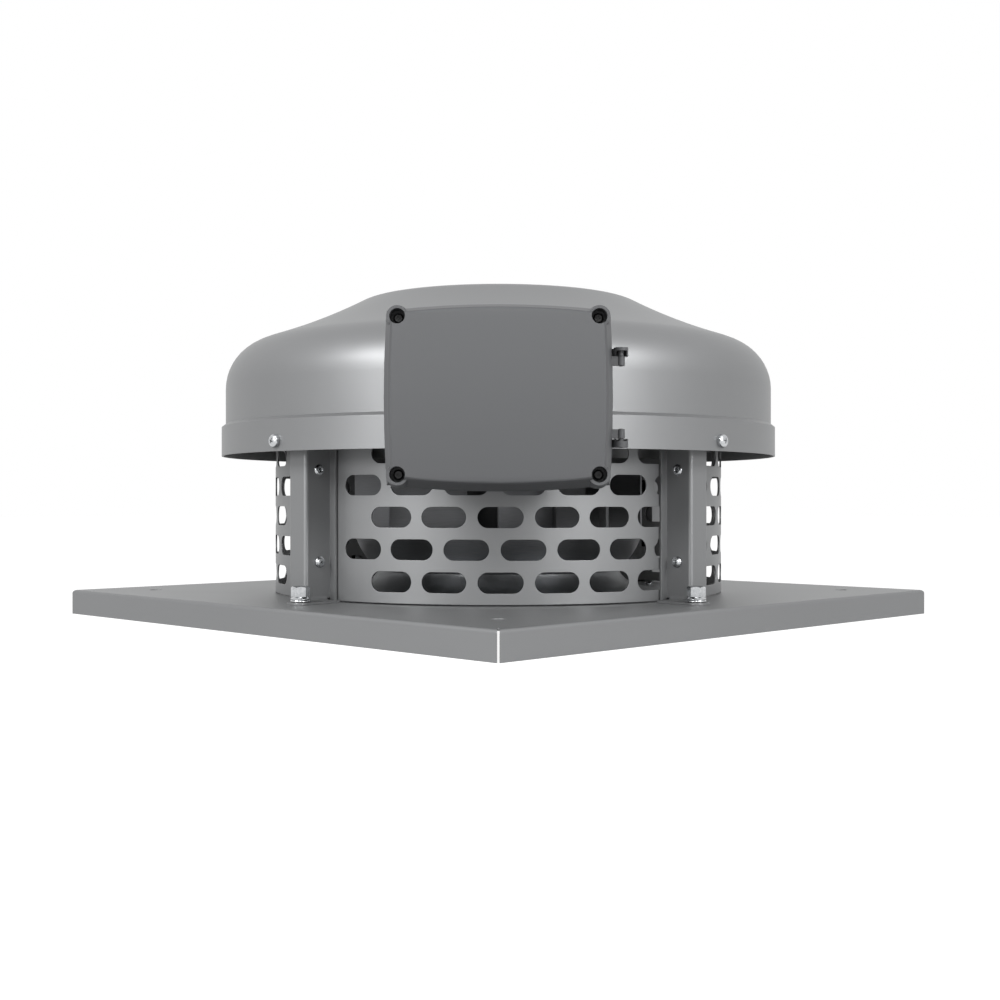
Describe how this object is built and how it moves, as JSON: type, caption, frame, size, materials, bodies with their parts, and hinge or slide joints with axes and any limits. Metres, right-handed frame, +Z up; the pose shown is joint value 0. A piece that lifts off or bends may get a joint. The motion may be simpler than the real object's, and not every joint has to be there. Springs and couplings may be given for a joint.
{
  "type": "centrifugal roof fan",
  "caption": "Centrifugal roof fan with a spun cowl, a slotted guard, an external-rotor motor and a hinged control box on a square base plate.",
  "frame": {"origin": "middle of the base plate's lower edge plane, on the impeller axis", "axes": "+Z up along the impeller axis, X and Y along the base plate's sides, the control box between +X and -Y"},
  "size_m": [0.56, 0.56, 0.2946],
  "materials": {
    "grey_coat": "satin powder coat",
    "galvanised_sheet": "galvanised",
    "zinc_plate": "bright zinc plate",
    "sealing_rubber": "matte",
    "cast_aluminium": "as cast",
    "electrical_steel": "stacked laminations",
    "winding_enamel": "enamelled wire",
    "bearing_steel": "ground",
    "rotor_coat": "satin",
    "impeller_sheet": "mill",
    "box_plastic": "fine grain",
    "gland_plastic": "moulded",
    "board_laminate": "solder mask",
    "part_plastic": "moulded",
    "terminal_plastic": "moulded"
  },
  "bodies": {
    "frame": {"base_plate": "grey_coat", "inlet_nozzle": "galvanised_sheet", "nozzle_screws": "zinc_plate", "bird_guard": "grey_coat", "leg_front_left": "grey_coat", "leg_front_right": "grey_coat", "leg_back_right": "grey_coat", "leg_back_left": "grey_coat", "foot_bolts": "zinc_plate", "foot_washers": "sealing_rubber", "foot_nuts": "zinc_plate", "guard_rails": "galvanised_sheet", "leg_screws": "zinc_plate", "leg_rivets": "zinc_plate", "motor_plate": "grey_coat", "arm_bolts": "zinc_plate", "arm_nuts": "zinc_plate", "cowl": "grey_coat", "cowl_screws": "zinc_plate", "stator_bush": "cast_aluminium", "stator_core": "electrical_steel", "windings": "winding_enamel", "motor_screws": "zinc_plate", "bearing_outer_rings": "bearing_steel", "bearing_balls": "bearing_steel", "box_bracket": "grey_coat", "band_screws": "zinc_plate", "box_screws": "zinc_plate", "box_body": "box_plastic", "cable_glands": "gland_plastic", "circuit_board": "board_laminate", "board_screws": "zinc_plate", "board_parts": "part_plastic", "terminal_block": "terminal_plastic", "lid_gasket": "sealing_rubber", "hinge_pins": "gland_plastic"},
    "rotor": {"motor_shaft": "bearing_steel", "rotor_bell": "rotor_coat", "rotor_core": "electrical_steel", "rotor_screws": "zinc_plate", "bearing_inner_rings": "bearing_steel", "impeller_backplate": "impeller_sheet", "impeller_blades": "impeller_sheet", "impeller_shroud": "impeller_sheet"},
    "lid": {"box_lid": "box_plastic", "lid_screws": "gland_plastic"}
  },
  "joints": [
    {"name": "impeller_spin", "type": "hinge", "parent": "frame", "child": "rotor", "pos_m": [0, 0, 0.1], "axis": [0, 0, 1], "continuous": true},
    {"name": "lid_hinge", "type": "hinge", "parent": "frame", "child": "lid", "pos_m": [0.26594, -0.14064, 0.1794], "axis": [0, 0, 1], "range_deg": [0, 120]}
  ]
}
